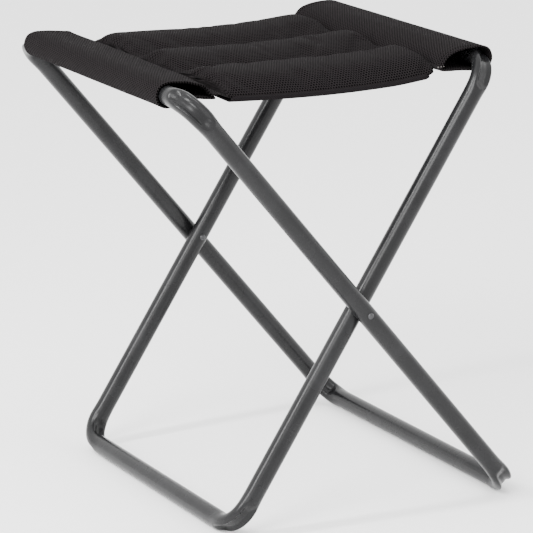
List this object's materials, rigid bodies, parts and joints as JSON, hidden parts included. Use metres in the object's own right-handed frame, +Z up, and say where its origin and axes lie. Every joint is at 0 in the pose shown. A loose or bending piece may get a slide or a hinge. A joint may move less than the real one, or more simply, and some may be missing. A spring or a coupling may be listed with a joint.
{
  "type": "folding camp stool",
  "caption": "Low folding stool: crossed tubular loops on a rivet axis, with a padded air-mesh seat sewn round the top rails.",
  "frame": {"origin": "floor level, under the centre of the stool's overall box", "axes": "+Z up, rails along Y with the front at -Y, +X from the outer frame's top rail to the inner frame's top rail"},
  "size_m": [0.3837, 0.3942, 0.4585],
  "materials": {
    "frame_paint": "semi-gloss anthracite powder coat with a faint sparkle",
    "steel": "dark plated steel",
    "nylon": "black nylon",
    "mesh_fabric": "black 3-D air mesh",
    "base_fabric": "plain black woven polyester",
    "foam": "dark open-cell foam",
    "binding": "black ribbed tape",
    "thread": "grey polyester thread"
  },
  "bodies": {
    "outer_frame": {"outer_bottom_rail": "frame_paint", "outer_bottom_bend_front": "frame_paint", "outer_leg_front": "frame_paint", "outer_top_bend_front": "frame_paint", "outer_top_rail_front": "frame_paint", "outer_bottom_bend_rear": "frame_paint", "outer_leg_rear": "frame_paint", "outer_top_bend_rear": "frame_paint", "outer_top_rail_rear": "frame_paint", "outer_frame_spigot": "steel", "pivot_rivet_front": "steel", "pivot_rivet_rear": "steel", "pivot_spacer_front": "nylon", "pivot_spacer_rear": "nylon"},
    "inner_frame": {"inner_bottom_rail": "frame_paint", "inner_bottom_bend_front": "frame_paint", "inner_leg_front": "frame_paint", "inner_top_bend_front": "frame_paint", "inner_top_rail_front": "frame_paint", "inner_bottom_bend_rear": "frame_paint", "inner_leg_rear": "frame_paint", "inner_top_bend_rear": "frame_paint", "inner_top_rail_rear": "frame_paint", "inner_frame_spigot": "steel"},
    "seat_left": {"sleeve_left": "mesh_fabric", "seam_strip_left": "binding", "quilt_cover_left": "mesh_fabric", "foam_front_left": "foam", "foam_middle_left": "foam", "foam_rear_left": "foam", "base_cloth_left": "base_fabric", "edge_binding_front_left": "binding", "edge_binding_rear_left": "binding", "bar_tack_front_left": "thread", "bar_tack_rear_left": "thread"},
    "seat_right": {"quilt_cover_right": "mesh_fabric", "foam_front_right": "foam", "foam_middle_right": "foam", "foam_rear_right": "foam", "base_cloth_right": "base_fabric", "edge_binding_front_right": "binding", "edge_binding_rear_right": "binding"},
    "sleeve_right": {"sleeve_right": "mesh_fabric", "seam_strip_right": "binding", "bar_tack_front_right": "thread", "bar_tack_rear_right": "thread"}
  },
  "joints": [
    {"name": "fold", "type": "hinge", "parent": "outer_frame", "child": "inner_frame", "pos_m": [0.01, 0, 0.2149], "axis": [0, -1, 0], "range_deg": [0, 67]},
    {"name": "left_sleeve_turn", "type": "hinge", "parent": "outer_frame", "child": "seat_left", "pos_m": [-0.18027, 0, 0.44165], "axis": [0, -1, 0], "range_deg": [-49.7, 0]},
    {"name": "seat_crease", "type": "hinge", "parent": "seat_left", "child": "seat_right", "pos_m": [0, 0, 0.4469], "axis": [0, -1, 0], "range_deg": [0, 171.6], "deforming": ["quilt_cover_right", "foam_front_right", "foam_middle_right", "foam_rear_right", "base_cloth_right", "edge_binding_front_right", "edge_binding_rear_right"]},
    {"name": "right_sleeve_turn", "type": "hinge", "parent": "inner_frame", "child": "sleeve_right", "pos_m": [0.16127, 0, 0.44695], "axis": [0, -1, 0], "range_deg": [0, 55]}
  ],
  "couplings": [
    {"joint": "left_sleeve_turn", "follows": "fold", "ratio": -0.7397},
    {"joint": "seat_crease", "follows": "fold", "ratio": 2.5584},
    {"joint": "right_sleeve_turn", "follows": "fold", "ratio": 0.8188}
  ]
}
